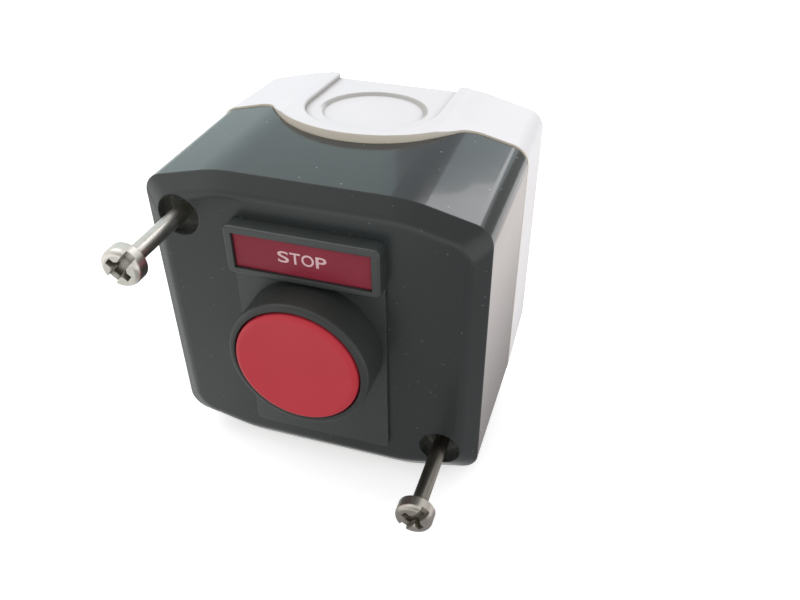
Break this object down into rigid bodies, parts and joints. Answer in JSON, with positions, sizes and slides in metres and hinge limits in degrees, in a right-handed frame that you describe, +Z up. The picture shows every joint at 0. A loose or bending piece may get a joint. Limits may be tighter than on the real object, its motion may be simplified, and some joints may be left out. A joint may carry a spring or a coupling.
{
  "type": "pushbutton control station",
  "caption": "Wall-mounted moulded control station with a flush red push button, legend holder, lift-off dark cover, light grey base with cable entries and captive cover screws.",
  "frame": {"origin": "the point of the rear mounting face on the push button's axis, which is the middle of the box", "axes": "+Y into the wall, -Y is the front with the button, +Z up, +X to the right seen from the front"},
  "size_m": [0.0688, 0.0745, 0.0704],
  "materials": {
    "base_plastic": "light grey moulded plastic, satin",
    "cover_plastic": "anthracite moulded plastic, satin gloss",
    "trim_plastic": "black moulded plastic, fine matte",
    "cap_plastic": "signal red moulded plastic, matte",
    "legend_plastic": "dark red laminate",
    "inner_plastic": "black inner moulding",
    "block_plastic": "grey contact block moulding",
    "carrier_plastic": "red contact carrier moulding",
    "seal_rubber": "black seal rubber",
    "screw_steel": "nickel plated steel",
    "spring_steel": "drawn spring wire",
    "contact_metal": "silver-tipped brass strip"
  },
  "bodies": {
    "base": {"base_box": "base_plastic", "contact_block_body": "block_plastic", "contact_block_lid": "block_plastic", "upper_fixed_contact": "contact_metal", "lower_fixed_contact": "contact_metal", "terminal_screws": "screw_steel", "terminal_clamps": "screw_steel", "plunger_spring": "spring_steel"},
    "cover": {"front_cover": "cover_plastic", "cover_gasket": "seal_rubber", "legend_holder": "trim_plastic", "legend_plate": "legend_plastic", "button_bezel": "trim_plastic", "bezel_gasket": "seal_rubber", "fixing_nut": "inner_plastic", "return_spring": "spring_steel"},
    "button": {"button_cap": "cap_plastic", "button_stem": "inner_plastic", "stem_seal": "seal_rubber"},
    "contact_carrier": {"contact_plunger": "carrier_plastic", "contact_bridge": "contact_metal", "contact_spring": "spring_steel"},
    "upper_screw": {"upper_screw": "screw_steel"},
    "lower_screw": {"lower_screw": "screw_steel"}
  },
  "joints": [
    {"name": "cover_lift", "type": "slide", "parent": "base", "child": "cover", "axis": [0, -1, 0], "range_m": [0, 0.04]},
    {"name": "button_press", "type": "slide", "parent": "cover", "child": "button", "axis": [0, 1, 0], "range_m": [0, 0.004], "stiffness_N_per_m": 600, "springref_m": -0.002, "deforming": ["return_spring"]},
    {"name": "contact_follow", "type": "slide", "parent": "base", "child": "contact_carrier", "axis": [0, 1, 0], "range_m": [0, 0.004], "stiffness_N_per_m": 150, "springref_m": -0.002, "deforming": ["plunger_spring"]},
    {"name": "upper_screw_travel", "type": "slide", "parent": "cover", "child": "upper_screw", "axis": [0, 1, 0], "range_m": [0, 0.0205]},
    {"name": "lower_screw_travel", "type": "slide", "parent": "cover", "child": "lower_screw", "axis": [0, 1, 0], "range_m": [0, 0.0205]}
  ],
  "couplings": [
    {"joint": "contact_follow", "follows": "button_press", "ratio": 1}
  ]
}
